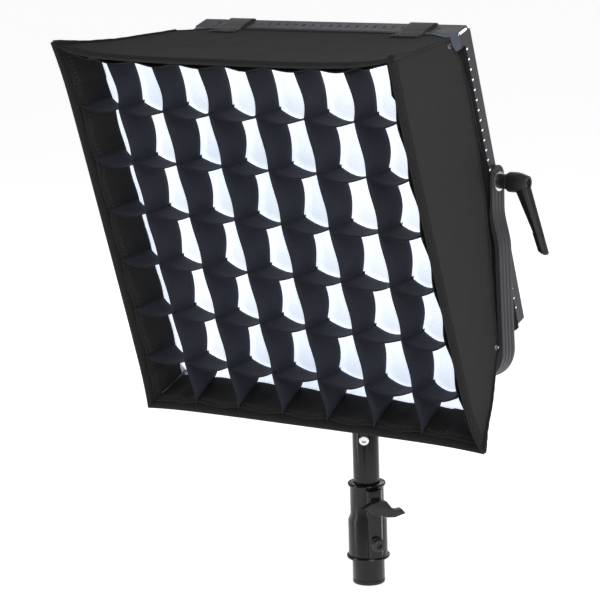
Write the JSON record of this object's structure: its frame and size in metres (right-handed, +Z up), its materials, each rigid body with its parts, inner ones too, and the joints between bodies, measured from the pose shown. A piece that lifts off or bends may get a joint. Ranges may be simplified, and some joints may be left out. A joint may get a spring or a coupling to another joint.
{
  "type": "studio softbox",
  "caption": "Square black fabric softbox with an egg-crate grid, strapped to a slim LED panel light that tilts in a yoke on a stand top.",
  "frame": {"origin": "centre of the flat bottom face of the stand's lower tube", "axes": "+Z up along the stand, -Y the way the light faces, +X to the right in a front view"},
  "size_m": [0.4138, 0.272, 0.5593],
  "materials": {
    "black_fabric": "woven, matte",
    "black_hem": "turned and stitched",
    "grid_fabric": "woven, matte",
    "black_webbing": "woven webbing",
    "white_diffusion_cloth": "translucent, matte",
    "opal_plate": "opal, satin",
    "spring_rod": "satin",
    "charcoal_paint": "fine textured",
    "black_metal": "satin",
    "gloss_black_paint": "gloss",
    "black_plastic": "fine grained",
    "circuit_board": "satin",
    "display_glass": "polished",
    "bright_zinc": "satin",
    "dark_steel": "satin"
  },
  "bodies": {
    "stand_base": {"lower_tube": "gloss_black_paint", "end_plug": "black_plastic", "collar": "gloss_black_paint", "clamp_bolt": "dark_steel"},
    "riser": {"riser_tube": "gloss_black_paint", "spigot": "dark_steel", "ring_screw": "bright_zinc"},
    "yoke": {"yoke": "charcoal_paint", "stand_socket": "black_metal", "yoke_bolt": "dark_steel", "washer_left": "bright_zinc", "washer_right": "bright_zinc"},
    "head": {"control_box": "black_plastic", "corner_rod_bl": "spring_rod", "corner_rod_br": "spring_rod", "corner_rod_tl": "spring_rod", "corner_rod_tr": "spring_rod", "diffuser_cloth": "white_diffusion_cloth", "display_window": "display_glass", "driver_board": "circuit_board", "fabric_bottom": "black_fabric", "fabric_left": "black_fabric", "fabric_right": "black_fabric", "fabric_top": "black_fabric", "front_hem": "black_hem", "grid_border": "grid_fabric", "grid_strip_h1": "grid_fabric", "grid_strip_h2": "grid_fabric", "grid_strip_h3": "grid_fabric", "grid_strip_h4": "grid_fabric", "grid_strip_h5": "grid_fabric", "grid_strip_h6": "grid_fabric", "grid_strip_v1": "grid_fabric", "grid_strip_v2": "grid_fabric", "grid_strip_v3": "grid_fabric", "grid_strip_v4": "grid_fabric", "grid_strip_v5": "grid_fabric", "grid_strip_v6": "grid_fabric", "led_board": "circuit_board", "light_back_cover": "charcoal_paint", "light_front_plate": "opal_plate", "light_housing": "charcoal_paint", "pivot_boss_left": "dark_steel", "pivot_boss_right": "dark_steel", "power_inlet": "black_plastic", "strap_bottom_left": "black_webbing", "strap_bottom_right": "black_webbing", "strap_top_left": "black_webbing", "strap_top_right": "black_webbing"},
    "wing_lever": {"wing_lever": "black_plastic"},
    "socket_knob": {"socket_knob": "black_plastic"},
    "stud_left": {"lever_stud_left": "dark_steel"},
    "stud_right": {"lever_stud_right": "dark_steel"},
    "handle_left": {"lever_handle_left": "black_plastic"},
    "handle_right": {"lever_handle_right": "black_plastic"},
    "brightness_knob": {"brightness_knob": "black_plastic"},
    "colour_knob": {"colour_knob": "black_plastic"},
    "power_rocker": {"power_rocker": "black_plastic"}
  },
  "joints": [
    {"name": "riser_slide", "type": "slide", "parent": "stand_base", "child": "riser", "axis": [0, 0, 1], "range_m": [-0.03, 0.03]},
    {"name": "wing_lever_turn", "type": "hinge", "parent": "stand_base", "child": "wing_lever", "pos_m": [0, 0, 0.0828], "axis": [0.829, -0.5592, 0], "range_deg": [-150, 30]},
    {"name": "yoke_pan", "type": "hinge", "parent": "riser", "child": "yoke", "pos_m": [0, 0, 0.1745], "axis": [0, 0, 1], "continuous": true},
    {"name": "socket_knob_turn", "type": "hinge", "parent": "yoke", "child": "socket_knob", "pos_m": [0, 0, 0.1915], "axis": [0, 1, 0], "range_deg": [-360, 0]},
    {"name": "head_tilt", "type": "hinge", "parent": "yoke", "child": "head", "pos_m": [0, 0, 0.4113], "axis": [1, 0, 0], "range_deg": [-107.7, 1.5]},
    {"name": "lever_turn_right", "type": "hinge", "parent": "yoke", "child": "stud_right", "pos_m": [0.17, 0, 0.4113], "axis": [1, 0, 0], "range_deg": [-60, 240]},
    {"name": "lever_lift_right", "type": "slide", "parent": "stud_right", "child": "handle_right", "axis": [1, 0, 0], "range_m": [0, 0.005], "stiffness_N_per_m": 600, "springref_m": -0.004},
    {"name": "lever_turn_left", "type": "hinge", "parent": "yoke", "child": "stud_left", "pos_m": [-0.17, 0, 0.4113], "axis": [-1, 0, 0], "range_deg": [-60, 240]},
    {"name": "lever_lift_left", "type": "slide", "parent": "stud_left", "child": "handle_left", "axis": [-1, 0, 0], "range_m": [0, 0.005], "stiffness_N_per_m": 600, "springref_m": -0.004},
    {"name": "brightness_turn", "type": "hinge", "parent": "head", "child": "brightness_knob", "pos_m": [-0.05, 0.03759, 0.4254], "axis": [0, 0.9527, 0.304], "range_deg": [-150, 150]},
    {"name": "colour_turn", "type": "hinge", "parent": "head", "child": "colour_knob", "pos_m": [0.05, 0.03759, 0.4254], "axis": [0, 0.9527, 0.304], "range_deg": [-150, 150]},
    {"name": "power_rock", "type": "hinge", "parent": "head", "child": "power_rocker", "pos_m": [-0.048, 0.03941, 0.38189], "axis": [1, 0, 0], "range_deg": [-16, 0]}
  ]
}
